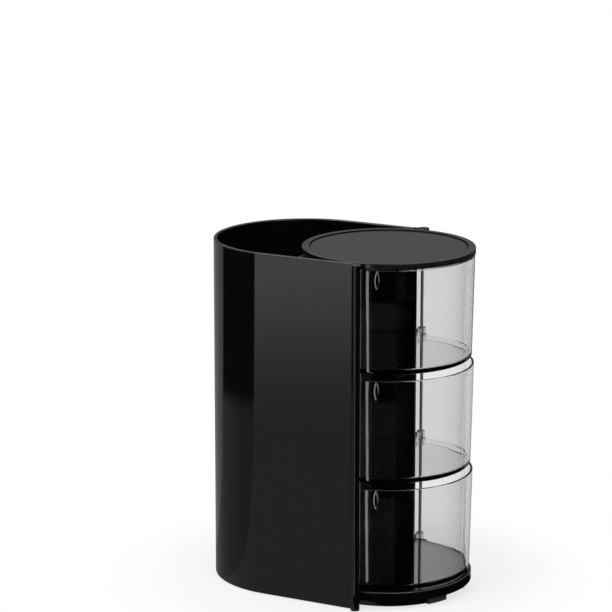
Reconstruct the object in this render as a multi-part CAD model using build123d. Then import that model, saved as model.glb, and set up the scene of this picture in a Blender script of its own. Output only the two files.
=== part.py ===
from build123d import *
import os
from math import cos, degrees, hypot, radians, sin, sqrt

# Accessory organizer: a U-shaped case with an open well at the back and, at the front,
# a stack of round clear trays and a lid that swing out one by one about an upright rod.
# Millimetres, +Z up, the trays' openings face +X. The shapes are drawn about the trays'
# common axis and then moved, so that the origin lies under the middle of the whole object.

# Case wall, a U in plan
wall = 2.2
side_clearance = 1.8
back_arc_setback = 57.0
rim_round = 0.8
round_share = 0.4
bead_radius = 2.75
bead_forward = 7.5
groove_width = 1.2
groove_depth = 0.8
groove_gap = 0.9

# Clear trays
tray_rim_radius = 52.6
tray_draft = 1.4
tray_height = 64.1
tray_wall = 1.5
tray_floor = 2.6
tray_gap = 3.4
tray_foot_round = 2.0
tray_inner_round = 1.2
tray_rim_round = 0.5

# Finger pull on each tray, a lens standing on its point
pull_height = 11.3
pull_width = 2.6
pull_depth = 1.5
pull_below_rim = 0.4
pull_angle = -71.0
pull_round = 0.5

# Lid with an inlaid panel
lid_overhang = 0.4
lid_gap = 0.4
lid_ring_width = 4.4
lid_plate = 1.2
lid_hollow = 1.0
lid_edge_round = 0.7
lid_groove_up = 1.2
lid_groove_height = 0.5
lid_groove_depth = 0.4
panel_gap = 0.7
panel_thickness = 1.2
panel_set_down = 0.6
panel_round = 0.3

# Hinge rod and what turns on it
pivot_back = 4.2
rod_radius = 1.0
rod_head_radius = 2.4
rod_head_height = 0.7
running_clearance = 0.05
barrel_radius = 2.6
ear_overhang = 1.1
ear_clearance = 0.3
ear_thickness = 2.3
web_thickness = 2.4
knuckle_length = 5.0
lid_barrel_length = 4.0
washer_thickness = 1.0
washer_inset = 0.1
layer_clearance = 0.1
wall_end_gap = 1.1
clip_radius = 3.2
clip_thickness = 1.0
rod_below_clip = 0.5

# Floor of the case, and the plinth under it
foot_lift = 0.6
plinth_thickness = 4.2
floor_height = 6.0
floor_skin = 2.2
floor_skirt = 2.2
floor_fit = 0.2
floor_edge_round = 0.8
base_disc_inset = 0.5
tray_base_gap = 0.5
plinth_front_inset = 4.5
plinth_front_cut = 3.5
rib_thickness = 1.6
rib_count = 3

# Feet, arc-shaped pads let into the plinth's rim
foot_proud = 0.8
foot_width = 3.7
foot_mid_angle = 23.5
foot_span = 17.5
foot_fit = 0.1

# Divider between the well and the trays
divider_thickness = 2.0
divider_round = 0.6
divider_clearance = 3.0
divider_fit = 0.3
divider_top_drop = 11.0
channel_depth = 3.2
channel_cheek = 3.5
channel_fit = 0.2
channel_room = 9.0

# Screws
screw_radius = 1.4
screw_fit = 0.05
screw_head_height = 1.6
case_screw_head = 2.6
case_screw_bite = 10.0
case_boss_radius = 3.4
case_boss_height = 15.4
case_boss_inset = 3.8
bay_boss_clearance = 1.2
well_boss_angle = 35.0
floor_boss_radius = 3.8
case_screw_clearance = 1.6
plinth_screw_head = 2.6
plinth_screw_bite = 3.6
plinth_screw_angle = 48.0
plinth_screw_front_inset = 10.5
plinth_screw_back_inset = 12.0

# Radii, from the trays outwards to the case and inwards to the plinth
tray_foot_radius = tray_rim_radius - tray_draft
lid_radius = tray_rim_radius + lid_overhang
case_inner = lid_radius + side_clearance
case_half_width = case_inner + wall
base_disc_radius = lid_radius - base_disc_inset
plinth_front_radius = base_disc_radius - plinth_front_inset
plinth_front_flat = plinth_front_radius - plinth_front_cut
case_screw_side = case_inner - case_boss_inset
plinth_back_radius = case_screw_side - case_screw_head - case_screw_clearance - foot_proud
ear_radius = barrel_radius + ear_overhang
washer_radius = barrel_radius - washer_inset

# Heights of the stack, from the feet up
floor_bottom = foot_lift + plinth_thickness
floor_top = floor_bottom + floor_height
tray_pitch = tray_height + tray_gap
lower_bottom = floor_top + tray_base_gap
tray_bottoms = [lower_bottom + i * tray_pitch for i in range(3)]
stack_top = tray_bottoms[-1] + tray_height
lid_bottom = stack_top + lid_gap
lid_thickness = lid_hollow + lid_plate + panel_thickness + panel_set_down
case_top = lid_bottom + lid_thickness

# The rod stands just clear of the lid, and the bead reaches as far out as the rod's ear
pivot = (-pivot_back, lid_radius + ear_radius + ear_clearance)
far_wall_end = pivot[0] - barrel_radius - wall_end_gap
bead_centre = (bead_forward, bead_radius - ear_radius - pivot[1])
bore_radius = rod_radius + running_clearance

# Top ear of the case, then the lid's barrel and the washer between it and the upper tray
ear_bottom = case_top - ear_thickness
lid_barrel_top = ear_bottom - 2 * layer_clearance
lid_barrel_bottom = lid_barrel_top - lid_barrel_length
washer_room = washer_thickness + 2 * layer_clearance
base_ear_top = lower_bottom - washer_room

# The divider is an arc through its middle, behind the trays, and its two ends at the walls,
# behind the screw bosses that stand beside the trays
bay_boss_away = tray_rim_radius + case_boss_radius + bay_boss_clearance
bay_boss_back = sqrt(bay_boss_away**2 - case_screw_side**2)
divider_end_back = bay_boss_back + channel_room
divider_mid = lid_radius + divider_clearance
divider_half_chord = case_inner - divider_fit
divider_sag = divider_mid - divider_end_back
divider_radius = (divider_half_chord**2 + divider_sag**2) / (2 * divider_sag)
divider_centre = divider_radius - divider_mid
divider_top = case_top - divider_top_drop

# The origin is under the middle of the whole length
axis_x = (back_arc_setback + case_half_width - lid_radius) / 2


def upright(radius, bottom, top, at=(0.0, 0.0)):
    """Upright cylinder between two heights."""
    middle = (bottom + top) / 2
    return Pos(at[0], at[1], middle) * Cylinder(radius, top - bottom)


def raised(plan, bottom, top):
    """A plan extruded between two heights."""
    return extrude(Pos(0, 0, bottom) * plan, top - bottom)


def block(x0, x1, y0, y1):
    """Rectangle in plan between two corners."""
    return Pos((x0 + x1) / 2, (y0 + y1) / 2) * Rectangle(x1 - x0, y1 - y0)


def stadium(half_width, front):
    """Plan that is round at the case's back and straight-sided up to a front line."""
    back = Circle(half_width) & block(-half_width, 0, -half_width, half_width)
    sides = block(-back_arc_setback, front, -half_width, half_width)
    return Pos(-back_arc_setback, 0) * back + sides


def case_screw_places():
    """Two bosses beside the trays and two at the back of the well."""
    side = case_screw_side
    turn = radians(well_boss_angle)
    back = (-back_arc_setback - side * cos(turn), side * sin(turn))
    return [(x, y * s) for x, y in ((-bay_boss_back, side), back) for s in (1, -1)]


def plinth_screw_places():
    """Two screws under the trays and two under the well."""
    turn = radians(plinth_screw_angle)
    front = plinth_front_radius - plinth_screw_front_inset
    back = plinth_back_radius - plinth_screw_back_inset
    places = (
        (front * cos(turn), front * sin(turn)),
        (-back_arc_setback - back * cos(turn), back * sin(turn)),
    )
    return [(x, y * s) for x, y in places for s in (1, -1)]


def divider_ring(grow):
    """The divider's arc band in plan, as a full ring, thickened on both faces."""
    outer = Circle(divider_radius + divider_thickness + grow)
    return Pos(divider_centre, 0) * (outer - Circle(divider_radius - grow))


def make_case_shell():
    """U-shaped wall with its bead, top ear, divider channels and screw bosses."""
    plan = stadium(case_half_width, bead_forward) - stadium(case_inner, bead_forward + wall)
    plan -= block(far_wall_end, bead_forward + wall, 0, case_half_width + wall)
    shell = raised(plan, foot_lift, case_top)
    rim = min(rim_round, round_share * wall)
    shell = fillet(shell.edges().group_by(Axis.Z)[-1], rim)

    # Bead column on the near edge, with a fine groove between it and the wall
    bead = upright(bead_radius, foot_lift, case_top, bead_centre)
    shell += fillet(bead.edges().group_by(Axis.Z)[-1], rim)
    groove_front = bead_forward - bead_radius - groove_gap + groove_width
    outside = -case_half_width
    groove = block(groove_front - groove_width, groove_front, outside - wall, outside + groove_depth)
    shell -= raised(groove, foot_lift, case_top - wall)

    # Ear that holds the top of the rod
    neck = block(far_wall_end - wall, pivot[0], case_inner, case_half_width)
    shell += raised(neck, ear_bottom, case_top)
    shell += upright(ear_radius, ear_bottom, case_top, pivot)
    shell -= upright(bore_radius, ear_bottom, case_top, pivot)
    seat = case_top - rod_head_height - layer_clearance
    shell -= upright(rod_head_radius + layer_clearance, seat, case_top, pivot)

    # Channels that take the divider's ends
    reach = case_inner - channel_depth
    front_edge = sqrt(divider_radius**2 - case_inner**2)
    back_edge = sqrt((divider_radius + divider_thickness) ** 2 - reach**2)
    for side in (1, -1):
        low, high = sorted((side * reach, side * (case_inner + wall / 2)))
        cheek = block(
            divider_centre - back_edge - channel_cheek,
            divider_centre - front_edge + channel_cheek,
            low,
            high,
        )
        inside = block(-2 * divider_mid, 0, -case_inner, case_inner)
        slot = divider_ring(channel_fit) & inside
        shell += raised(cheek - slot, floor_top, divider_top)

    # Bosses for the case screws, each tied to the wall
    boss_top = floor_top + case_boss_height
    for x, y in case_screw_places():
        middle = (-back_arc_setback, 0) if x < -back_arc_setback else (x, 0)
        away = hypot(x - middle[0], y)
        towards = Vector(x - middle[0], y).normalized()
        tie = towards * (case_inner + wall / 2 - away)
        boss = raised(Pos(x, y) * Circle(case_boss_radius), floor_top, boss_top)
        angle = Vector(1, 0).get_signed_angle(towards, Vector(0, 0, 1))
        strap = Rectangle(tie.length, 2 * case_boss_radius)
        strap = Pos(x + tie.X / 2, y + tie.Y / 2) * Rot(0, 0, angle) * strap
        shell += boss + raised(strap, floor_top, boss_top)
        pilot_top = floor_top + case_screw_bite + screw_head_height
        shell -= upright(screw_radius + screw_fit, floor_top, pilot_top, (x, y))
    return shell


def make_well_divider():
    """Curved panel that stands in the case's channels."""
    band = block(-2 * divider_mid, 0, -divider_half_chord, divider_half_chord)
    panel = raised(divider_ring(0) & band, floor_top, divider_top)
    rim = min(divider_round, round_share * divider_thickness)
    return fillet(panel.edges().group_by(Axis.Z)[-1], rim)


def make_base_floor():
    """Disc under the trays that runs back into the case, hollow underneath, with an ear."""
    plan = Circle(base_disc_radius) + stadium(case_inner - floor_fit, far_wall_end)
    plan += Pos(*pivot) * Circle(ear_radius)
    plan += block(pivot[0] - ear_radius, pivot[0] + ear_radius, 0, pivot[1])
    solid = raised(plan, floor_bottom, floor_top)
    rounded = solid.edges().group_by(Axis.Z)[-1].filter_by(GeomType.CIRCLE)
    front = rounded.filter_by(lambda e: abs(e.radius - base_disc_radius) < floor_fit)
    solid = fillet(front, floor_edge_round)
    hollow = Circle(base_disc_radius - floor_skirt)
    hollow += stadium(case_inner - floor_fit - floor_skirt, far_wall_end - floor_skirt)
    skin_bottom = floor_top - floor_skin
    solid -= raised(hollow, floor_bottom, skin_bottom)

    # Cross ribs, a boss for each screw, and the solid ear
    reach = back_arc_setback + case_half_width
    for i in range(rib_count):
        x = base_disc_radius - (i + 1) * (reach + base_disc_radius) / (rib_count + 1)
        rib = block(x - rib_thickness / 2, x + rib_thickness / 2, -case_half_width, case_half_width)
        solid += raised(rib & plan, floor_bottom, skin_bottom)
    for place in case_screw_places() + plinth_screw_places():
        boss = Pos(*place) * Circle(floor_boss_radius) & plan
        solid += raised(boss, floor_bottom, skin_bottom)
    solid += upright(ear_radius, floor_bottom, floor_top, pivot)
    solid -= upright(ear_radius + layer_clearance, base_ear_top, floor_top, pivot)

    for place in case_screw_places():
        solid -= upright(screw_radius + screw_fit, floor_bottom, floor_top, place)
    for place in plinth_screw_places():
        pilot_top = floor_bottom + plinth_screw_bite
        solid -= upright(screw_radius + screw_fit, floor_bottom, pilot_top, place)
    solid -= upright(bore_radius, floor_bottom, floor_top, pivot)
    return solid


def foot_sector(middle_x, rim_radius, angle, grow):
    """Arc-shaped pad in plan, let into a round rim, about the rim's centre."""
    outer = rim_radius + foot_proud
    half = foot_span / 2 + degrees(grow / outer)
    reach = outer + foot_width
    start, end = (radians(angle + s * half) for s in (-1, 1))
    wedge = make_face(
        Polyline(
            (0, 0),
            (reach * cos(start), reach * sin(start)),
            (reach * cos(end), reach * sin(end)),
            close=True,
        )
    )
    ring = Circle(outer + grow) - Circle(outer - foot_width - grow)
    return Pos(middle_x, 0) * (ring & wedge)


def foot_places():
    """Centre and radius of the rim that holds each foot, and the foot's direction, by name."""
    places = {}
    for side, sign in (("near", -1), ("far", 1)):
        turn = sign * foot_mid_angle
        places[f"foot_front_{side}"] = (0.0, plinth_front_radius, turn)
        places[f"foot_back_{side}"] = (-back_arc_setback, plinth_back_radius, 180.0 - turn)
    return places


def make_plinth():
    """Plate set back under the floor, with notches for the feet and sunk screw holes."""
    plan = Circle(plinth_front_radius) + stadium(plinth_back_radius, 0)
    plan -= block(plinth_front_flat, case_half_width, -case_half_width, case_half_width)
    for place in foot_places().values():
        plan -= foot_sector(*place, foot_fit)
    plate = raised(plan, foot_lift, floor_bottom)
    for place in plinth_screw_places():
        plate -= upright(screw_radius + screw_fit, foot_lift, floor_bottom, place)
        head_room = foot_lift + screw_head_height + layer_clearance
        plate -= upright(plinth_screw_head + screw_fit, foot_lift, head_room, place)
    return plate


def make_foot(place):
    """One pad, as tall as the plinth and a little lower."""
    return raised(foot_sector(*place, 0), 0, floor_bottom)


def tray_profile(bottom):
    """Half section of a tray: a drafted cup with a rounded foot and rim."""
    top = bottom + tray_height
    outer = Polyline(
        (0, bottom),
        (tray_foot_radius, bottom),
        (tray_rim_radius, top),
        (tray_rim_radius - tray_wall, top),
        (tray_foot_radius - tray_wall, bottom + tray_floor),
        (0, bottom + tray_floor),
        close=True,
    )
    section = make_face(outer)
    corners = section.vertices()
    foot = corners.sort_by_distance((tray_foot_radius, bottom))[0]
    section = fillet(foot, tray_foot_round)
    inner = section.vertices().sort_by_distance((tray_foot_radius - tray_wall, bottom + tray_floor))[0]
    section = fillet(inner, tray_inner_round)
    rim = section.vertices().group_by(Axis.Y)[-1]
    return fillet(rim, min(tray_rim_round, round_share * tray_wall))


def tray_cavity(bottom):
    """The room inside a tray, a little taller than the tray."""
    draft = (tray_rim_radius - tray_foot_radius) / tray_height
    low, high = bottom + tray_floor, bottom + tray_height + tray_gap
    foot = tray_foot_radius - tray_wall
    rim = foot + draft * (high - low)
    room = make_face(Polyline((0, low), (foot, low), (rim, high), (0, high), close=True))
    corner = room.vertices().sort_by_distance((foot, low))[0]
    return revolve(Plane.XZ * fillet(corner, tray_inner_round), Axis.Z)


def pull_lens(bottom):
    """Finger pull: two arcs that meet in a point, standing out of the tray's wall."""
    top = bottom + tray_height - pull_below_rim
    half, belly = pull_height / 2, pull_width / 2
    right = ThreePointArc((0, -half), (belly, 0), (0, half))
    left = ThreePointArc((0, half), (-belly, 0), (0, -half))
    face = make_face(Curve() + [right, left])
    root = tray_foot_radius - tray_wall
    reach = tray_rim_radius + pull_depth
    lens = extrude(Plane.YZ * face, reach - root)
    tip = lens.edges().group_by(Axis.X)[-1]
    lens = fillet(tip, pull_round)
    return Rot(0, 0, pull_angle) * Pos(root, 0, top - half) * lens


def make_tray(bottom, barrel_top):
    """Clear cup with a finger pull and two hinge knuckles, each on a short web."""
    cup = revolve(Plane.XZ * tray_profile(bottom), Axis.Z)
    web = block(
        pivot[0] - web_thickness / 2,
        pivot[0] + web_thickness / 2,
        tray_foot_radius - tray_wall,
        pivot[1],
    )
    web_top = min(barrel_top, bottom + tray_height - tray_rim_round)
    extras = pull_lens(bottom)
    extras += raised(web, bottom + tray_foot_round, bottom + knuckle_length)
    extras += raised(web, barrel_top - knuckle_length, web_top)
    cup += extras - tray_cavity(bottom)
    for low in (bottom, barrel_top - knuckle_length):
        cup += upright(barrel_radius, low, low + knuckle_length, pivot)
    return cup - upright(bore_radius, bottom, barrel_top, pivot)


def make_lid():
    """Shallow dished cover with a flat ring, a recess for its panel and a hinge barrel."""
    ring_inner = lid_radius - lid_ring_width
    recess = case_top - panel_set_down - panel_thickness
    body = upright(lid_radius, lid_bottom, case_top)
    ends = body.edges().filter_by(GeomType.CIRCLE)
    body = fillet(ends, lid_edge_round)
    groove_bottom = lid_bottom + lid_groove_up
    groove_top = groove_bottom + lid_groove_height
    groove = upright(lid_radius + wall, groove_bottom, groove_top)
    body -= groove - upright(lid_radius - lid_groove_depth, groove_bottom, groove_top)
    body -= upright(ring_inner, recess, case_top)
    body -= upright(ring_inner, lid_bottom, recess - lid_plate)
    arm = block(pivot[0] - barrel_radius, pivot[0] + barrel_radius, lid_radius - lid_ring_width, pivot[1])
    body += raised(arm, lid_bottom, lid_barrel_top)
    body += upright(barrel_radius, lid_barrel_bottom, lid_barrel_top, pivot)
    return body - upright(bore_radius, lid_barrel_bottom, lid_barrel_top, pivot)


def make_lid_panel():
    """Disc laid into the lid's recess."""
    radius = lid_radius - lid_ring_width - panel_gap
    top = case_top - panel_set_down
    disc = upright(radius, top - panel_thickness, top)
    return fillet(disc.edges().group_by(Axis.Z)[-1], panel_round)


def make_pivot_rod():
    """Steel rod with a flat head sunk in the top ear."""
    seat = case_top - layer_clearance - rod_head_height
    foot = floor_bottom - layer_clearance - clip_thickness - rod_below_clip
    rod = upright(rod_radius, foot, seat, pivot)
    return rod + upright(rod_head_radius, seat, seat + rod_head_height, pivot)


def make_washer(bottom):
    """Thin ring round the rod between two layers."""
    low = bottom + layer_clearance
    ring = upright(washer_radius, low, low + washer_thickness, pivot)
    return ring - upright(bore_radius, low, low + washer_thickness, pivot)


def make_rod_clip():
    """Push-on ring that keeps the rod from lifting out."""
    top = floor_bottom - layer_clearance
    ring = upright(clip_radius, top - clip_thickness, top, pivot)
    return ring - upright(rod_radius + screw_fit / 2, top - clip_thickness, top, pivot)


def make_screws(places, seat, head_radius, length):
    """Screws with a flat head below their seat, one solid at each place."""
    screws = []
    for place in places:
        screw = upright(head_radius, seat - screw_head_height, seat, place)
        screws.append(screw + upright(screw_radius, seat, seat + length, place))
    return Compound(screws)


def make_parts():
    """Every piece by name, drawn about the trays' axis."""
    tops = [z - washer_room for z in (*tray_bottoms[1:], lid_barrel_bottom)]
    parts = {
        "case_shell": make_case_shell(),
        "well_divider": make_well_divider(),
        "base_floor": make_base_floor(),
        "plinth": make_plinth(),
        "lid": make_lid(),
        "lid_panel": make_lid_panel(),
        "pivot_rod": make_pivot_rod(),
        "rod_clip": make_rod_clip(),
        "case_screws": make_screws(
            case_screw_places(), floor_bottom, case_screw_head, floor_height + case_screw_bite
        ),
        "plinth_screws": make_screws(
            plinth_screw_places(),
            foot_lift + screw_head_height + layer_clearance,
            plinth_screw_head,
            plinth_thickness - screw_head_height - layer_clearance + plinth_screw_bite - screw_fit,
        ),
    }
    for name, place in foot_places().items():
        parts[name] = make_foot(place)
    for name, bottom, top in zip(("lower", "middle", "upper"), tray_bottoms, tops):
        parts[f"tray_{name}"] = make_tray(bottom, top)
    seats = (base_ear_top, *tops)
    for name, seat in zip(("lower", "middle", "upper", "lid"), seats):
        parts[f"washer_{name}"] = make_washer(seat)
    return parts


os.makedirs("parts", exist_ok=True)
for node, shape in make_parts().items():
    export_step(Pos(axis_x, 0, 0) * shape, f"parts/{node}.step")
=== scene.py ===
from math import asin, cos, pi, radians, sin

import bpy
from bpy.props import FloatProperty, FloatVectorProperty, IntProperty, PointerProperty
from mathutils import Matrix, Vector


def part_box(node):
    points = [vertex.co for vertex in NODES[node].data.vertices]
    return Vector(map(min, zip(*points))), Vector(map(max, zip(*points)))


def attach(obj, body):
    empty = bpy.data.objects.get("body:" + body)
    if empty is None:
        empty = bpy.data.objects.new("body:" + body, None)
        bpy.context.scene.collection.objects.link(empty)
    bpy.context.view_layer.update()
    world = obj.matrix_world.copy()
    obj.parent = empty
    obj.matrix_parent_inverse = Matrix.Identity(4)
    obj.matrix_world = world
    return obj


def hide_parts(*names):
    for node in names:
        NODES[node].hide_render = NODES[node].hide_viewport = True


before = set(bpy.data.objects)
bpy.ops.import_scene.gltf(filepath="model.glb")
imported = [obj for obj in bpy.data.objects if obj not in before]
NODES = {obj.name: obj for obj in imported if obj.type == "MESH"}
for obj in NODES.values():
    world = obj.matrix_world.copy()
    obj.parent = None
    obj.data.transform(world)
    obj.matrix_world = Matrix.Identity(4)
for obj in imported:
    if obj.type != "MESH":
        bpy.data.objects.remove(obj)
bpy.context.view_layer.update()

bl_info = {
    "name": "Swing-tray accessory organizer",
    "version": (1, 0, 0),
    "blender": (4, 5, 0),
    "location": "3D View > Sidebar > Organizer",
    "description": "Dresses the packed organizer: moulded shells, clear trays, hinge and studio",
    "category": "Object",
}

MM = 0.001
BEND_LIMIT = radians(12.0)


# Settings


class FinishSettings(bpy.types.PropertyGroup):
    """Colours and gloss of the object's finishes."""

    shell_color: FloatVectorProperty(
        name="Shell colour", description="Moulded black of the case and base",
        subtype="COLOR", size=3, min=0.0, max=1.0, default=(0.002, 0.002, 0.0022),
    )
    shell_roughness: FloatProperty(
        name="Shell roughness", description="Blur of the case's reflections",
        subtype="FACTOR", min=0.0, max=1.0, default=0.06,
    )
    lid_color: FloatVectorProperty(
        name="Lid colour", description="Satin black of the lid, its panel and the divider",
        subtype="COLOR", size=3, min=0.0, max=1.0, default=(0.005, 0.005, 0.0053),
    )
    lid_roughness: FloatProperty(
        name="Lid roughness", description="Blur of the lid's reflections",
        subtype="FACTOR", min=0.0, max=1.0, default=0.2,
    )
    divider_roughness: FloatProperty(
        name="Divider roughness", description="Blur of the divider's reflections",
        subtype="FACTOR", min=0.0, max=1.0, default=0.55,
    )
    tray_color: FloatVectorProperty(
        name="Tray tint", description="Tint of the clear plastic's two faces",
        subtype="COLOR", size=3, min=0.0, max=1.0, default=(0.95, 0.95, 0.95),
    )
    tray_depth_color: FloatVectorProperty(
        name="Tray depth tint", description="Colour that the clear plastic deepens to",
        subtype="COLOR", size=3, min=0.0, max=1.0, default=(0.48, 0.5, 0.52),
    )
    tray_density: FloatProperty(
        name="Tray density", description="How soon the clear plastic deepens, per metre",
        min=0.0, default=110.0,
    )
    tray_ior: FloatProperty(
        name="Tray IOR", description="Index of refraction of the clear plastic",
        min=1.0, max=2.0, default=1.49,
    )
    steel_color: FloatVectorProperty(
        name="Steel colour", description="Hinge rod, clip and screws",
        subtype="COLOR", size=3, min=0.0, max=1.0, default=(0.8, 0.8, 0.81),
    )
    steel_roughness: FloatProperty(
        name="Steel roughness", description="Blur of the clip's and the screws' reflections",
        subtype="FACTOR", min=0.0, max=1.0, default=0.24,
    )
    rod_roughness: FloatProperty(
        name="Rod roughness", description="Blur of the hinge rod's reflections",
        subtype="FACTOR", min=0.0, max=1.0, default=0.6,
    )
    head_color: FloatVectorProperty(
        name="Rod head colour", description="Blackened head of the hinge rod",
        subtype="COLOR", size=3, min=0.0, max=1.0, default=(0.05, 0.05, 0.05),
    )
    head_depth: FloatProperty(
        name="Rod head depth", description="How far down the rod is blackened",
        unit="LENGTH", min=0.0, default=0.8 * MM,
    )
    washer_color: FloatVectorProperty(
        name="Washer colour", description="Natural plastic of the washers",
        subtype="COLOR", size=3, min=0.0, max=1.0, default=(0.7, 0.69, 0.65),
    )
    pad_color: FloatVectorProperty(
        name="Pad colour", description="Rubber of the feet",
        subtype="COLOR", size=3, min=0.0, max=1.0, default=(0.03, 0.03, 0.03),
    )


class ScrewSettings(bpy.types.PropertyGroup):
    """Sizes of the screws under the base."""

    head_height: FloatProperty(
        name="Head height", description="Height of a screw's head",
        unit="LENGTH", min=0.0, default=1.6 * MM,
    )
    shank_radius: FloatProperty(
        name="Shank radius", description="Radius of a screw's shank",
        unit="LENGTH", min=0.0, default=1.4 * MM,
    )
    recess_width: FloatProperty(
        name="Recess width", description="Width of each arm of the driver's cross",
        unit="LENGTH", min=0.0, default=0.7 * MM,
    )
    recess_length: FloatProperty(
        name="Recess length", description="Length of each arm of the driver's cross",
        unit="LENGTH", min=0.0, default=3.2 * MM,
    )
    recess_depth: FloatProperty(
        name="Recess depth", description="Depth of the driver's cross",
        unit="LENGTH", min=0.0, default=0.9 * MM,
    )
    sides: IntProperty(
        name="Sides", description="Number of sides that a screw is drawn with", min=8, default=40,
    )


class DividerSettings(bpy.types.PropertyGroup):
    """Section of the curved divider."""

    thickness: FloatProperty(
        name="Thickness", description="Thickness of the panel", unit="LENGTH", min=0.0, default=2.0 * MM,
    )
    edge_round: FloatProperty(
        name="Edge round", description="Rounding of the panel's top edges",
        unit="LENGTH", min=0.0, default=0.6 * MM,
    )
    steps: IntProperty(
        name="Steps", description="Number of points along the panel's arc", min=8, default=96,
    )


class StageSettings(bpy.types.PropertyGroup):
    """Camera and studio."""

    azimuth: FloatProperty(
        name="Azimuth", description="Turn of the camera about the upright axis",
        subtype="ANGLE", default=radians(28.043),
    )
    tilt: FloatProperty(
        name="Tilt", description="How far the camera looks down", subtype="ANGLE", default=radians(13.124),
    )
    distance: FloatProperty(
        name="Distance", description="Camera from the trays' axis, on the level",
        unit="LENGTH", default=1.72737,
    )
    aside: FloatProperty(
        name="Aside", description="Camera to the side of the trays' axis", unit="LENGTH", default=-0.050315,
    )
    height: FloatProperty(
        name="Height", description="Camera above the floor", unit="LENGTH", default=0.579677,
    )
    lens: FloatProperty(
        name="Lens", description="Focal length on a 36 mm sensor", subtype="DISTANCE_CAMERA", default=170.94,
    )
    floor_color: FloatVectorProperty(
        name="Floor colour", description="Paper on the table",
        subtype="COLOR", size=3, min=0.0, max=1.0, default=(0.97, 0.97, 0.97),
    )
    ambient: FloatProperty(
        name="Ambient", description="Strength of the light from all round", min=0.0, default=0.72,
    )
    key_power: FloatProperty(
        name="Key", description="Power of the softbox overhead", unit="POWER", min=0.0, default=14.0,
    )


# Shader helpers


def fresh_material(name):
    """An empty node material with its output."""
    material = bpy.data.materials.new(name)
    material.use_nodes = True
    tree = material.node_tree
    tree.nodes.clear()
    return material, tree, tree.nodes.new("ShaderNodeOutputMaterial")


def add(tree, kind, values=None, **settings_of_node):
    """A node with its settings, and values or links for its inputs by name or number."""
    node = tree.nodes.new(kind)
    for key, value in settings_of_node.items():
        setattr(node, key, value)
    for key, value in (values or {}).items():
        if isinstance(value, bpy.types.NodeSocket):
            tree.links.new(value, node.inputs[key])
        else:
            node.inputs[key].default_value = value
    return node


def rgba(color):
    """A colour property as four numbers, the last for full cover."""
    return (*color, 1.0)


def new_group(name, inputs, outputs):
    """A shader node group with named sockets, its input node and its output node."""
    group = bpy.data.node_groups.new(name, "ShaderNodeTree")
    for label, kind, default in inputs:
        socket = group.interface.new_socket(label, in_out="INPUT", socket_type=kind)
        if default is not None:
            socket.default_value = default
    for label, kind in outputs:
        group.interface.new_socket(label, in_out="OUTPUT", socket_type=kind)
    return group, group.nodes.new("NodeGroupInput"), group.nodes.new("NodeGroupOutput")


def moulded_group():
    """Slow swell and fine haze of a moulded surface: a roughness and a height."""
    name = "moulded_surface"
    if name in bpy.data.node_groups:
        return bpy.data.node_groups[name]
    group, given, out = new_group(
        name,
        [
            ("Vector", "NodeSocketVector", None),
            ("Roughness", "NodeSocketFloat", 0.1),
            ("Haze", "NodeSocketFloat", 0.02),
            ("Swell Scale", "NodeSocketFloat", 18.0),
            ("Grain Scale", "NodeSocketFloat", 900.0),
            ("Grain", "NodeSocketFloat", 0.1),
        ],
        [("Roughness", "NodeSocketFloat"), ("Height", "NodeSocketFloat")],
    )
    swell = add(group, "ShaderNodeTexNoise", {
        "Vector": given.outputs["Vector"], "Scale": given.outputs["Swell Scale"], "Detail": 2.0,
    })
    grain = add(group, "ShaderNodeTexNoise", {
        "Vector": given.outputs["Vector"], "Scale": given.outputs["Grain Scale"], "Detail": 1.0,
    })
    centred = add(group, "ShaderNodeMath", {0: swell.outputs["Fac"], 1: 0.5}, operation="SUBTRACT")
    spread = add(group, "ShaderNodeMath", {
        0: centred.outputs[0], 1: given.outputs["Haze"], 2: given.outputs["Roughness"],
    }, operation="MULTIPLY_ADD")
    bounded = add(group, "ShaderNodeMath", {0: spread.outputs[0], 1: 0.01}, operation="MAXIMUM")
    height = add(group, "ShaderNodeMath", {
        0: grain.outputs["Fac"], 1: given.outputs["Grain"], 2: swell.outputs["Fac"],
    }, operation="MULTIPLY_ADD")
    group.links.new(bounded.outputs[0], out.inputs["Roughness"])
    group.links.new(height.outputs[0], out.inputs["Height"])
    return group


def drift_group():
    """A colour that drifts a little lighter and darker over the piece."""
    name = "colour_drift"
    if name in bpy.data.node_groups:
        return bpy.data.node_groups[name]
    group, given, out = new_group(
        name,
        [
            ("Vector", "NodeSocketVector", None),
            ("Color", "NodeSocketColor", (0.5, 0.5, 0.5, 1.0)),
            ("Scale", "NodeSocketFloat", 30.0),
            ("Amount", "NodeSocketFloat", 0.1),
        ],
        [("Color", "NodeSocketColor")],
    )
    noise = add(group, "ShaderNodeTexNoise", {
        "Vector": given.outputs["Vector"], "Scale": given.outputs["Scale"], "Detail": 3.0,
    })
    centred = add(group, "ShaderNodeMath", {0: noise.outputs["Fac"], 1: 0.5}, operation="SUBTRACT")
    gain = add(group, "ShaderNodeMath", {
        0: centred.outputs[0], 1: given.outputs["Amount"], 2: 1.0,
    }, operation="MULTIPLY_ADD")
    scaled = add(group, "ShaderNodeVectorMath", {
        0: given.outputs["Color"], "Scale": gain.outputs[0],
    }, operation="SCALE")
    group.links.new(scaled.outputs["Vector"], out.inputs["Color"])
    return group


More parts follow.
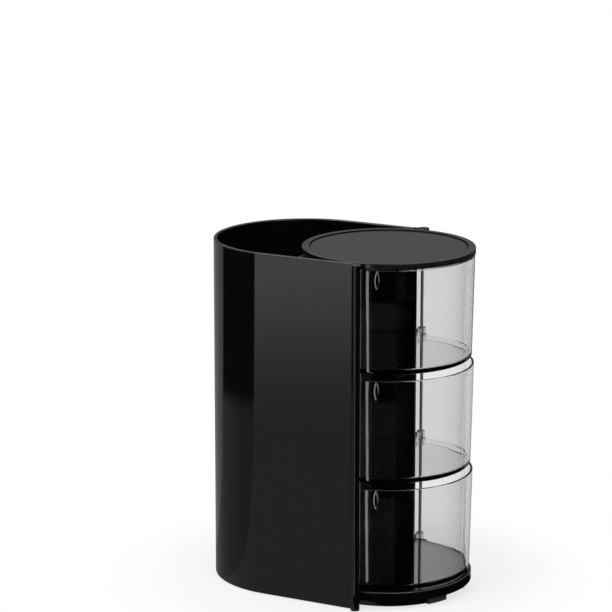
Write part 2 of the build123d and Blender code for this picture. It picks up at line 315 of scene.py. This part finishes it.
def surface_nodes(
    tree, color, roughness, haze, drift, grain, swell_scale, grain_scale, drift_scale, stretch=(1.0, 1.0, 1.0)
):
    """Object coordinates through both groups: a colour, a roughness and a height."""
    place = add(tree, "ShaderNodeTexCoord").outputs["Object"]
    place = add(tree, "ShaderNodeMapping", {"Vector": place, "Scale": stretch}).outputs["Vector"]
    tint = add(tree, "ShaderNodeGroup", node_tree=drift_group())
    tint.inputs["Color"].default_value = rgba(color)
    tint.inputs["Scale"].default_value = drift_scale
    tint.inputs["Amount"].default_value = drift
    skin = add(tree, "ShaderNodeGroup", node_tree=moulded_group())
    for label, value in (("Roughness", roughness), ("Haze", haze), ("Swell Scale", swell_scale),
                         ("Grain Scale", grain_scale), ("Grain", grain)):
        skin.inputs[label].default_value = value
    for group in (tint, skin):
        tree.links.new(place, group.inputs["Vector"])
    return tint.outputs["Color"], skin.outputs["Roughness"], skin.outputs["Height"]


def capped_color(tree, color, level, cap_color):
    """A colour that gives way to another above a level."""
    place = add(tree, "ShaderNodeTexCoord").outputs["Object"]
    z = add(tree, "ShaderNodeSeparateXYZ", {0: place}).outputs["Z"]
    above = add(tree, "ShaderNodeMath", {0: z, 1: level}, operation="GREATER_THAN").outputs[0]
    # A mix of colours takes them at inputs 6 and 7 and gives its result at output 2.
    mixed = add(tree, "ShaderNodeMix", {0: above, 6: color, 7: rgba(cap_color)}, data_type="RGBA")
    return mixed.outputs[2]


def plain_material(name, surface, bump, bump_depth, metallic=0.0, ior=1.5, cap=None):
    """A solid finish: the surface's colour and roughness, with its height as a fine bump."""
    material, tree, out = fresh_material(name)
    color, roughness, height = surface_nodes(tree, **surface)
    if cap is not None:
        color = capped_color(tree, color, *cap)
    relief = add(tree, "ShaderNodeBump", {"Strength": bump, "Distance": bump_depth, "Height": height})
    body = add(tree, "ShaderNodeBsdfPrincipled", {
        "Base Color": color, "Roughness": roughness, "Metallic": metallic, "IOR": ior,
        "Normal": relief.outputs["Normal"],
    })
    tree.links.new(body.outputs[0], out.inputs["Surface"])
    return material


def gloss_black():
    """Polished black plastic of the case and base."""
    finish = bpy.context.scene.organizer_finish
    surface = {
        "color": finish.shell_color, "roughness": finish.shell_roughness, "haze": 0.03, "drift": 0.3,
        "grain": 0.05, "swell_scale": 14.0, "grain_scale": 700.0, "drift_scale": 25.0,
    }
    return plain_material("gloss_black", surface, bump=0.03, bump_depth=0.2 * MM, ior=1.56)


def satin_black(name, roughness):
    """Satin black plastic of the lid and the divider."""
    surface = {
        "color": bpy.context.scene.organizer_finish.lid_color, "roughness": roughness, "haze": 0.05,
        "drift": 0.3, "grain": 0.3, "swell_scale": 20.0, "grain_scale": 1500.0, "drift_scale": 30.0,
    }
    return plain_material(name, surface, bump=0.05, bump_depth=0.1 * MM)


def drawn_metal(name, roughness, cap=None):
    """Steel with fine lines along the upright axis, blackened above a level where a cap is given."""
    surface = {
        "color": bpy.context.scene.organizer_finish.steel_color, "roughness": roughness, "haze": 0.2,
        "drift": 0.2, "grain": 1.0, "swell_scale": 300.0, "grain_scale": 900.0, "drift_scale": 120.0,
        "stretch": (6.0, 6.0, 0.4),
    }
    return plain_material(name, surface, bump=0.1, bump_depth=0.05 * MM, metallic=1.0, cap=cap)


def washer_plastic():
    """Natural slippery plastic of the washers."""
    surface = {
        "color": bpy.context.scene.organizer_finish.washer_color, "roughness": 0.42, "haze": 0.1,
        "drift": 0.12, "grain": 0.5, "swell_scale": 200.0, "grain_scale": 1500.0, "drift_scale": 150.0,
    }
    return plain_material("washer_plastic", surface, bump=0.1, bump_depth=0.05 * MM)


def pad_rubber():
    """Dull rubber of the feet."""
    surface = {
        "color": bpy.context.scene.organizer_finish.pad_color, "roughness": 0.5, "haze": 0.1,
        "drift": 0.4, "grain": 1.0, "swell_scale": 120.0, "grain_scale": 1800.0, "drift_scale": 90.0,
    }
    return plain_material("pad_rubber", surface, bump=0.3, bump_depth=0.1 * MM)


def clear_plastic():
    """Clear plastic of the trays, which lets the lamps' light through."""
    finish = bpy.context.scene.organizer_finish
    material, tree, out = fresh_material("clear_plastic")
    color, roughness, height = surface_nodes(
        tree, finish.tray_color, roughness=0.015, haze=0.02, drift=0.02, grain=0.02,
        swell_scale=12.0, grain_scale=400.0, drift_scale=20.0,
    )
    relief = add(tree, "ShaderNodeBump", {"Strength": 0.02, "Distance": 0.1 * MM, "Height": height})
    body = add(tree, "ShaderNodeBsdfPrincipled", {
        "Base Color": color, "Roughness": roughness, "Metallic": 0.0, "IOR": finish.tray_ior,
        "Transmission Weight": 1.0, "Normal": relief.outputs["Normal"],
    })
    passing = add(tree, "ShaderNodeBsdfTransparent", {"Color": rgba(finish.tray_color)})
    shadow = add(tree, "ShaderNodeLightPath").outputs["Is Shadow Ray"]
    mixed = add(tree, "ShaderNodeMixShader", {0: shadow, 1: body.outputs[0], 2: passing.outputs[0]})
    tree.links.new(mixed.outputs[0], out.inputs["Surface"])
    depth = add(tree, "ShaderNodeVolumeAbsorption", {
        "Color": rgba(finish.tray_depth_color), "Density": finish.tray_density,
    })
    tree.links.new(depth.outputs[0], out.inputs["Volume"])
    return material


def dress(node, material):
    """Gives a carried-over solid its finish."""
    piece = NODES[node]
    for slot in piece.material_slots:
        slot.material = material


# Geometry helpers


def mesh_object(name, mesh):
    """A mesh as an object in the scene."""
    piece = bpy.data.objects.new(name, mesh)
    bpy.context.scene.collection.objects.link(piece)
    return piece


def evaluated_mesh(piece, tree, values):
    """The plain mesh that a node tree makes of a piece, with its inputs set by name."""
    modifier = piece.modifiers.new("shape", "NODES")
    modifier.node_group = tree
    sockets = {s.name: s.identifier for s in tree.interface.items_tree if s.in_out == "INPUT"}
    for label, value in values.items():
        modifier[sockets[label]] = value
    bpy.context.view_layer.update()
    graph = bpy.context.evaluated_depsgraph_get()
    mesh = bpy.data.meshes.new_from_object(piece.evaluated_get(graph))
    piece.modifiers.remove(modifier)
    old = piece.data
    piece.data = mesh
    bpy.data.meshes.remove(old)
    return piece


def smooth_below(tree, mesh, bend_limit):
    """Smooth shading across the edges that bend less than an angle, and crisp edges elsewhere."""
    smooth = add(tree, "GeometryNodeSetShadeSmooth", {"Geometry": mesh, "Shade Smooth": True}).outputs[0]
    bend = add(tree, "GeometryNodeInputMeshEdgeAngle").outputs["Unsigned Angle"]
    slight = add(tree, "FunctionNodeCompare", {0: bend, 1: bend_limit}, operation="LESS_THAN").outputs[0]
    return add(tree, "GeometryNodeSetShadeSmooth", {
        "Geometry": smooth, "Shade Smooth": slight,
    }, domain="EDGE").outputs[0]


def screw_tree():
    """Screws at a mesh's points: a head with a cross recess below its seat, and a shank above it."""
    name = "screw_set"
    if name in bpy.data.node_groups:
        return bpy.data.node_groups[name]
    tree = bpy.data.node_groups.new(name, "GeometryNodeTree")
    tree.interface.new_socket("Geometry", in_out="INPUT", socket_type="NodeSocketGeometry")
    for label in ("Head Radius", "Head Height", "Shank Radius", "Shank Length",
                  "Recess Width", "Recess Length", "Recess Depth"):
        tree.interface.new_socket(label, in_out="INPUT", socket_type="NodeSocketFloat")
    tree.interface.new_socket("Sides", in_out="INPUT", socket_type="NodeSocketInt")
    tree.interface.new_socket("Material", in_out="INPUT", socket_type="NodeSocketMaterial")
    tree.interface.new_socket("Geometry", in_out="OUTPUT", socket_type="NodeSocketGeometry")
    given = tree.nodes.new("NodeGroupInput").outputs
    out = tree.nodes.new("NodeGroupOutput")

    def half(value, sign):
        return add(tree, "ShaderNodeMath", {0: value, 1: 0.5 * sign}, operation="MULTIPLY").outputs[0]

    def lifted(mesh, z):
        offset = add(tree, "ShaderNodeCombineXYZ", {"Z": z}).outputs[0]
        return add(tree, "GeometryNodeTransform", {"Geometry": mesh, "Translation": offset}).outputs[0]

    def rod(radius, depth):
        return add(tree, "GeometryNodeMeshCylinder", {
            "Vertices": given["Sides"], "Radius": radius, "Depth": depth,
        }).outputs["Mesh"]

    head = lifted(rod(given["Head Radius"], given["Head Height"]), half(given["Head Height"], -1))
    overlap = add(tree, "ShaderNodeMath", {
        0: given["Shank Length"], 1: half(given["Head Height"], 1),
    }, operation="ADD").outputs[0]
    rise = add(tree, "ShaderNodeMath", {
        0: half(overlap, 1), 1: half(given["Head Height"], 1),
    }, operation="SUBTRACT").outputs[0]
    shank = lifted(rod(given["Shank Radius"], overlap), rise)
    cuts = []
    deep = add(tree, "ShaderNodeMath", {0: given["Recess Depth"], 1: 2.0}, operation="MULTIPLY").outputs[0]
    low = add(tree, "ShaderNodeMath", {0: given["Head Height"], 1: -1.0}, operation="MULTIPLY").outputs[0]
    for along, across in (("X", "Y"), ("Y", "X")):
        size = add(tree, "ShaderNodeCombineXYZ", {
            along: given["Recess Length"], across: given["Recess Width"], "Z": deep,
        }).outputs[0]
        arm = add(tree, "GeometryNodeMeshCube", {"Size": size}).outputs["Mesh"]
        cuts.append(lifted(arm, low))
    whole = add(tree, "GeometryNodeMeshBoolean", operation="UNION", solver="EXACT")
    tree.links.new(shank, whole.inputs["Mesh"])
    tree.links.new(head, whole.inputs["Mesh"])
    body = whole.outputs["Mesh"]
    for cut in cuts:
        cutter = add(tree, "GeometryNodeMeshBoolean", operation="DIFFERENCE", solver="EXACT")
        tree.links.new(body, cutter.inputs["Mesh 1"])
        tree.links.new(cut, cutter.inputs["Mesh 2"])
        body = cutter.outputs["Mesh"]
    body = smooth_below(tree, body, BEND_LIMIT)
    placed = add(tree, "GeometryNodeInstanceOnPoints", {"Points": given["Geometry"], "Instance": body})
    solid = add(tree, "GeometryNodeRealizeInstances", {"Geometry": placed.outputs[0]})
    finished = add(tree, "GeometryNodeSetMaterial", {
        "Geometry": solid.outputs[0], "Material": given["Material"],
    })
    tree.links.new(finished.outputs[0], out.inputs["Geometry"])
    return tree


def screw_seats(node, head_height):
    """Where a node's four screws seat, their heads' radius and their length above the seats."""
    low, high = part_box(node)
    middle = (low + high) / 2
    corners = {}
    for vertex in NODES[node].data.vertices:
        if vertex.co.z < low.z + head_height / 2:
            key = (vertex.co.x > middle.x, vertex.co.y > middle.y)
            corners.setdefault(key, []).append(vertex.co)
    seats = []
    for points in corners.values():
        xs, ys = [p.x for p in points], [p.y for p in points]
        seats.append(Vector((
            (min(xs) + max(xs)) / 2, (min(ys) + max(ys)) / 2, low.z + head_height,
        )))
    points = next(iter(corners.values()))
    radius = (max(p.x for p in points) - min(p.x for p in points)) / 2
    return seats, radius, high.z - low.z - head_height


def make_screws(name, node, material):
    """Screws in place of a node's plain ones."""
    sizes = bpy.context.scene.organizer_screws
    seats, radius, length = screw_seats(node, sizes.head_height)
    mesh = bpy.data.meshes.new(name)
    mesh.from_pydata(seats, [], [])
    piece = evaluated_mesh(mesh_object(name, mesh), screw_tree(), {
        "Head Radius": radius, "Head Height": sizes.head_height,
        "Shank Radius": sizes.shank_radius, "Shank Length": length,
        "Recess Width": sizes.recess_width, "Recess Length": sizes.recess_length,
        "Recess Depth": sizes.recess_depth, "Sides": sizes.sides, "Material": material,
    })
    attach(piece, "case")
    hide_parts(node)


def divider_tree():
    """An upright panel swept along an arc, with its top edges rounded."""
    name = "arc_panel"
    if name in bpy.data.node_groups:
        return bpy.data.node_groups[name]
    tree = bpy.data.node_groups.new(name, "GeometryNodeTree")
    tree.interface.new_socket("Geometry", in_out="INPUT", socket_type="NodeSocketGeometry")
    for label in ("Radius", "Half Angle", "Thickness", "Bottom", "Top", "Edge Round", "Centre"):
        tree.interface.new_socket(label, in_out="INPUT", socket_type="NodeSocketFloat")
    tree.interface.new_socket("Steps", in_out="INPUT", socket_type="NodeSocketInt")
    tree.interface.new_socket("Material", in_out="INPUT", socket_type="NodeSocketMaterial")
    tree.interface.new_socket("Geometry", in_out="OUTPUT", socket_type="NodeSocketGeometry")
    given = tree.nodes.new("NodeGroupInput").outputs
    out = tree.nodes.new("NodeGroupOutput")

    def number(kind, first, second):
        return add(tree, "ShaderNodeMath", {0: first, 1: second}, operation=kind).outputs[0]

    start = number("SUBTRACT", pi, given["Half Angle"])
    sweep = number("MULTIPLY", given["Half Angle"], 2.0)
    arc = add(tree, "GeometryNodeCurveArc", {
        "Resolution": given["Steps"], "Radius": given["Radius"], "Start Angle": start, "Sweep Angle": sweep,
    }).outputs["Curve"]
    arc = add(tree, "GeometryNodeSetCurveNormal", {"Curve": arc}, mode="Z_UP").outputs["Curve"]
    tall = number("SUBTRACT", given["Top"], given["Bottom"])
    section = add(tree, "GeometryNodeCurvePrimitiveQuadrilateral", {
        "Width": given["Thickness"], "Height": tall,
    }).outputs["Curve"]
    place = add(tree, "GeometryNodeInputPosition").outputs[0]
    height = add(tree, "ShaderNodeSeparateXYZ", {0: place}).outputs["Y"]
    # The sweep turns the section over, so its lower corners become the panel's top.
    top_corner = add(tree, "FunctionNodeCompare", {0: height, 1: 0.0}, operation="LESS_THAN").outputs[0]
    rounding = number("MULTIPLY", top_corner, given["Edge Round"])
    section = add(tree, "GeometryNodeFilletCurve", {
        "Curve": section, "Radius": rounding, "Count": 4,
    }, mode="POLY").outputs["Curve"]
    panel = add(tree, "GeometryNodeCurveToMesh", {
        "Curve": arc, "Profile Curve": section, "Fill Caps": True,
    }).outputs["Mesh"]
    rise = number("MULTIPLY", number("ADD", given["Top"], given["Bottom"]), 0.5)
    offset = add(tree, "ShaderNodeCombineXYZ", {"X": given["Centre"], "Z": rise}).outputs[0]
    placed = add(tree, "GeometryNodeTransform", {"Geometry": panel, "Translation": offset}).outputs[0]
    smooth = smooth_below(tree, placed, BEND_LIMIT)
    solid = add(tree, "GeometryNodeRealizeInstances", {"Geometry": smooth}).outputs[0]
    finished = add(tree, "GeometryNodeSetMaterial", {
        "Geometry": solid, "Material": given["Material"],
    }).outputs[0]
    tree.links.new(finished, out.inputs["Geometry"])
    return tree


def make_divider(name, node, material):
    """The divider in place of a node, from that node's box: its middle, its ends and its heights."""
    sizes = bpy.context.scene.organizer_divider
    low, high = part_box(node)
    sag = high.x - low.x - sizes.thickness
    inner = (high.y**2 + sag**2) / (2 * sag)
    piece = evaluated_mesh(mesh_object(name, bpy.data.meshes.new(name)), divider_tree(), {
        "Radius": inner + sizes.thickness / 2, "Half Angle": asin(high.y / (inner + sizes.thickness)),
        "Thickness": sizes.thickness, "Bottom": low.z, "Top": high.z, "Edge Round": sizes.edge_round,
        "Centre": low.x + sizes.thickness + inner, "Steps": sizes.steps, "Material": material,
    })
    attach(piece, "case")
    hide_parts(node)


# Stage


CARD_STEP = 0.4 * MM
CARD_REACH = 1.6
CASE_BACK = (-0.03, 0.0)
NEAR_EDGE = (0.042, -0.063)
STRIP_FOOT = (0.043, -0.045)
SIDE_SPAN = {"start": 175.0, "end": 233.4}
WALL_SIZE = {"radius": 2.2, "top": 1.2}
LAMP_TARGET = (0.0, 0.0, 0.1)
KEY_TO_FILL = 3.0


def stage_rays(tree):
    """One where the camera, a reflection or a view through the trays meets the stage."""
    path = add(tree, "ShaderNodeLightPath")
    seen = path.outputs["Is Camera Ray"]
    for ray in ("Is Glossy Ray", "Is Transmission Ray"):
        seen = add(tree, "ShaderNodeMath", {0: seen, 1: path.outputs[ray]}, operation="MAXIMUM").outputs[0]
    return seen


def distance_ramp(tree, start, end, least=0.0):
    """From a least value to 1 between two distances from the object's middle."""
    place = add(tree, "ShaderNodeTexCoord").outputs["Object"]
    away = add(tree, "ShaderNodeVectorMath", {0: place}, operation="LENGTH").outputs["Value"]
    return add(tree, "ShaderNodeMapRange", {
        "Value": away, "From Min": start, "From Max": end, "To Min": least, "To Max": 1.0,
    }, interpolation_type="SMOOTHSTEP").outputs["Result"]


def floor_material(color):
    """Pale paper that takes the shadow near the object and is plain white further out."""
    material, tree, out = fresh_material("floor_paper")
    paper = add(tree, "ShaderNodeBsdfDiffuse", {"Color": rgba(color)})
    white = add(tree, "ShaderNodeEmission", {"Color": (1.0, 1.0, 1.0, 1.0), "Strength": 1.0})
    share = add(tree, "ShaderNodeMath", {
        0: stage_rays(tree), 1: distance_ramp(tree, start=0.09, end=0.17, least=0.7),
    }, operation="MULTIPLY").outputs[0]
    mixed = add(tree, "ShaderNodeMixShader", {0: share, 1: paper.outputs[0], 2: white.outputs[0]})
    tree.links.new(mixed.outputs[0], out.inputs["Surface"])
    return material


def card_material(name, tone, clear_at=None, full_at=None):
    """A studio card of one grey for reflections, which may fade in between two distances from the object."""
    material, tree, out = fresh_material(name)
    grey = add(tree, "ShaderNodeEmission", {"Color": (1.0, 1.0, 1.0, 1.0), "Strength": tone})
    passing = add(tree, "ShaderNodeBsdfTransparent")
    # Only rays with a reflection behind them see the card. A straight view through the trays passes it.
    bounces = add(tree, "ShaderNodeLightPath").outputs["Glossy Depth"]
    share = add(tree, "ShaderNodeMath", {0: bounces, 1: 0.5}, operation="GREATER_THAN").outputs[0]
    if clear_at is not None:
        ramp = distance_ramp(tree, clear_at, full_at)
        share = add(tree, "ShaderNodeMath", {0: share, 1: ramp}, operation="MULTIPLY").outputs[0]
    mixed = add(tree, "ShaderNodeMixShader", {0: share, 1: passing.outputs[0], 2: grey.outputs[0]})
    tree.links.new(mixed.outputs[0], out.inputs["Surface"])
    return material


def grid_mesh(name, rows):
    """A mesh from rows of points, each row joined to the next."""
    count = len(rows[0])
    points = [p for row in rows for p in row]
    faces = []
    for r in range(len(rows) - 1):
        for i in range(r * count, (r + 1) * count - 1):
            faces.append((i, i + 1, i + count + 1, i + count))
    mesh = bpy.data.meshes.new(name)
    mesh.from_pydata(points, [], faces)
    return mesh


def arc_wall(name, radius, start, end, top, steps=48):
    """An upright curved card on the floor, between two directions in degrees."""
    turns = [radians(start + (end - start) * i / steps) for i in range(steps + 1)]
    rows = [[(radius * cos(t), radius * sin(t), z) for t in turns] for z in (0.0, top)]
    return mesh_object(name, grid_mesh(name, rows))


def disc(name, radius, layer, centre=(0.0, 0.0), start=0.0, end=360.0, hole=0.001, steps=96):
    """A level ring on the floor, or a sector of one between two directions in degrees."""
    turns = [radians(start + (end - start) * i / steps) for i in range(steps + 1)]
    rows = [
        [(centre[0] + r * cos(t), centre[1] + r * sin(t), layer * CARD_STEP) for t in turns]
        for r in (hole, radius)
    ]
    return mesh_object(name, grid_mesh(name, rows))


def studio_card(card, material, through_trays=False):
    """A card that only reflections see, those that leave through the trays too where that is asked."""
    card.data.materials.append(material)
    card.visible_camera = False
    card.visible_diffuse = False
    card.visible_transmission = through_trays
    card.visible_shadow = False


def wall_cards():
    """Cards that the case reflects: a grey table, and greys and a black for the bands on its side."""
    table = disc("table_card", radius=1.15, layer=1)
    studio_card(table, card_material("table_grey", tone=0.285, clear_at=1.08, full_at=0.42))
    flag = disc("side_card", CARD_REACH, layer=4, centre=CASE_BACK, **SIDE_SPAN)
    studio_card(flag, card_material("side_black", tone=0.01, clear_at=0.47, full_at=0.54))
    edge = disc("edge_card", CARD_REACH, layer=4, centre=CASE_BACK, start=120.0, end=175.0)
    studio_card(edge, card_material("edge_grey", tone=0.3))
    near = disc("low_card", radius=0.6, layer=3, centre=CASE_BACK, **SIDE_SPAN)
    studio_card(near, card_material("low_grey", tone=0.176))


def tray_cards():
    """Cards that the trays and the lid reflect: dark ones, a bright strip and a grey wall."""
    front = disc("front_card", CARD_REACH, layer=2, centre=NEAR_EDGE, start=246.0, end=430.0)
    studio_card(front, card_material("front_black", tone=0.004), through_trays=True)
    far = disc("far_card", CARD_REACH, layer=2, centre=NEAR_EDGE, start=430.0, end=470.0, hole=0.62)
    studio_card(far, card_material("far_black", tone=0.05))
    strip = disc("strip_card", radius=1.5, layer=3, centre=STRIP_FOOT, start=266.2, end=270.2, hole=0.045)
    studio_card(strip, card_material("strip_white", tone=4.4))
    grey = card_material("wall_grey", tone=0.22)
    studio_card(arc_wall("back_wall_card", start=40.0, end=196.0, **WALL_SIZE), grey)
    front_wall = arc_wall("front_wall_card", start=196.0, end=400.0, **WALL_SIZE)
    studio_card(front_wall, grey, through_trays=True)


def area_lamp(name, place, width, power):
    """A square softbox aimed at the object."""
    lamp = bpy.data.lights.new(name, "AREA")
    lamp.shape = "RECTANGLE"
    lamp.size = width
    lamp.size_y = width
    lamp.energy = power
    holder = bpy.data.objects.new(name, lamp)
    holder.location = place
    aim = Vector(LAMP_TARGET) - Vector(place)
    holder.rotation_euler = aim.to_track_quat("-Z", "Y").to_euler()
    holder.visible_camera = False
    bpy.context.scene.collection.objects.link(holder)


def make_world(ambient):
    """White surroundings for the picture, and even light at a plain level for the object."""
    world = bpy.data.worlds.new("studio")
    bpy.context.scene.world = world
    world.use_nodes = True
    tree = world.node_tree
    tree.nodes.clear()
    out = tree.nodes.new("ShaderNodeOutputWorld")
    strength = add(tree, "ShaderNodeMapRange", {
        "Value": stage_rays(tree), "To Min": ambient, "To Max": 1.0,
    }).outputs["Result"]
    light = add(tree, "ShaderNodeBackground", {"Color": (1.0, 1.0, 1.0, 1.0), "Strength": strength})
    tree.links.new(light.outputs[0], out.inputs["Surface"])


def make_camera(stage):
    """The photograph's viewpoint, about the trays' upright axis."""
    low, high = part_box("lid_panel")
    axis = Vector(((low.x + high.x) / 2, (low.y + high.y) / 2, 0.0))
    turn = stage.azimuth
    away = Vector((sin(turn), -cos(turn), 0.0))
    right = Vector((cos(turn), sin(turn), 0.0))
    data = bpy.data.cameras.new("camera")
    data.sensor_width = 36.0
    data.lens = stage.lens
    camera = bpy.data.objects.new("camera", data)
    camera.location = axis + away * stage.distance + right * stage.aside + Vector((0, 0, stage.height))
    camera.rotation_euler = (pi / 2 - stage.tilt, 0.0, turn)
    bpy.context.scene.collection.objects.link(camera)
    bpy.context.scene.camera = camera


# Operators


class ORGANIZER_OT_shell(bpy.types.Operator):
    """Dress the case, the floor and the plinth, and make the divider"""

    bl_idname = "organizer.shell"
    bl_label = "Case and base"

    def execute(self, context):
        material = gloss_black()
        for node in ("case_shell", "base_floor", "plinth"):
            dress(node, material)
        satin = satin_black("divider_satin", context.scene.organizer_finish.divider_roughness)
        make_divider("divider_panel", "well_divider", satin)
        return {"FINISHED"}


class ORGANIZER_OT_lid(bpy.types.Operator):
    """Dress the lid and its panel"""

    bl_idname = "organizer.lid"
    bl_label = "Lid"

    def execute(self, context):
        material = satin_black("lid_satin", context.scene.organizer_finish.lid_roughness)
        for node in ("lid", "lid_panel"):
            dress(node, material)
        return {"FINISHED"}


class ORGANIZER_OT_trays(bpy.types.Operator):
    """Dress the clear trays"""

    bl_idname = "organizer.trays"
    bl_label = "Trays"

    def execute(self, context):
        material = clear_plastic()
        for layer in ("lower", "middle", "upper"):
            dress(f"tray_{layer}", material)
        return {"FINISHED"}


class ORGANIZER_OT_hinge(bpy.types.Operator):
    """Dress the hinge rod, its clip and the washers"""

    bl_idname = "organizer.hinge"
    bl_label = "Hinge"

    def execute(self, context):
        finish = context.scene.organizer_finish
        plastic = washer_plastic()
        head = (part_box("pivot_rod")[1].z - finish.head_depth, finish.head_color)
        dress("pivot_rod", drawn_metal("rod_steel", finish.rod_roughness, head))
        dress("rod_clip", drawn_metal("clip_steel", finish.steel_roughness))
        for layer in ("lower", "middle", "upper", "lid"):
            dress(f"washer_{layer}", plastic)
        return {"FINISHED"}


class ORGANIZER_OT_screws(bpy.types.Operator):
    """Make the screws under the base"""

    bl_idname = "organizer.screws"
    bl_label = "Screws"

    def execute(self, context):
        metal = drawn_metal("screw_steel", context.scene.organizer_finish.steel_roughness)
        make_screws("case_screw_set", "case_screws", metal)
        make_screws("plinth_screw_set", "plinth_screws", metal)
        return {"FINISHED"}


class ORGANIZER_OT_feet(bpy.types.Operator):
    """Dress the rubber pads in the plinth"""

    bl_idname = "organizer.feet"
    bl_label = "Feet"

    def execute(self, context):
        material = pad_rubber()
        for end in ("front", "back"):
            for side in ("near", "far"):
                dress(f"foot_{end}_{side}", material)
        return {"FINISHED"}


class ORGANIZER_OT_stage(bpy.types.Operator):
    """Make the floor, the studio cards, the lamps and the camera"""

    bl_idname = "organizer.stage"
    bl_label = "Stage"

    def execute(self, context):
        stage = context.scene.organizer_stage
        context.scene.view_settings.view_transform = "Standard"
        floor = disc("floor", radius=6.0, layer=0)
        floor.data.materials.append(floor_material(stage.floor_color))
        wall_cards()
        tray_cards()
        area_lamp("key_softbox", place=(-0.7, -1.1, 1.9), width=1.2, power=stage.key_power)
        area_lamp("fill_softbox", place=(1.4, -0.9, 1.3), width=0.9, power=stage.key_power / KEY_TO_FILL)
        make_world(stage.ambient)
        make_camera(stage)
        return {"FINISHED"}


OPERATORS = (
    ORGANIZER_OT_shell,
    ORGANIZER_OT_lid,
    ORGANIZER_OT_trays,
    ORGANIZER_OT_hinge,
    ORGANIZER_OT_screws,
    ORGANIZER_OT_feet,
    ORGANIZER_OT_stage,
)


class ORGANIZER_PT_panel(bpy.types.Panel):
    """The organizer's pieces and settings"""

    bl_idname = "ORGANIZER_PT_panel"
    bl_label = "Accessory organizer"
    bl_space_type = "VIEW_3D"
    bl_region_type = "UI"
    bl_category = "Organizer"

    def draw(self, context):
        layout = self.layout
        for operator in OPERATORS:
            layout.operator(operator.bl_idname)
        for name in GROUPS:
            group = getattr(context.scene, name)
            box = layout.box()
            for label in group.__annotations__:
                box.prop(group, label)


GROUPS = {
    "organizer_finish": FinishSettings,
    "organizer_screws": ScrewSettings,
    "organizer_divider": DividerSettings,
    "organizer_stage": StageSettings,
}


def register():
    """Adds the settings, the operators and the panel."""
    for name, group in GROUPS.items():
        bpy.utils.register_class(group)
        setattr(bpy.types.Scene, name, PointerProperty(type=group))
    for cls in (*OPERATORS, ORGANIZER_PT_panel):
        bpy.utils.register_class(cls)


def unregister():
    """Takes them away again."""
    for cls in (ORGANIZER_PT_panel, *reversed(OPERATORS)):
        bpy.utils.unregister_class(cls)
    for name, group in GROUPS.items():
        delattr(bpy.types.Scene, name)
        bpy.utils.unregister_class(group)


def main():
    """Makes every piece in order."""
    register()
    for operator in OPERATORS:
        area, call = operator.bl_idname.split(".")
        getattr(getattr(bpy.ops, area), call)()


if __name__ == "__main__":
    main()
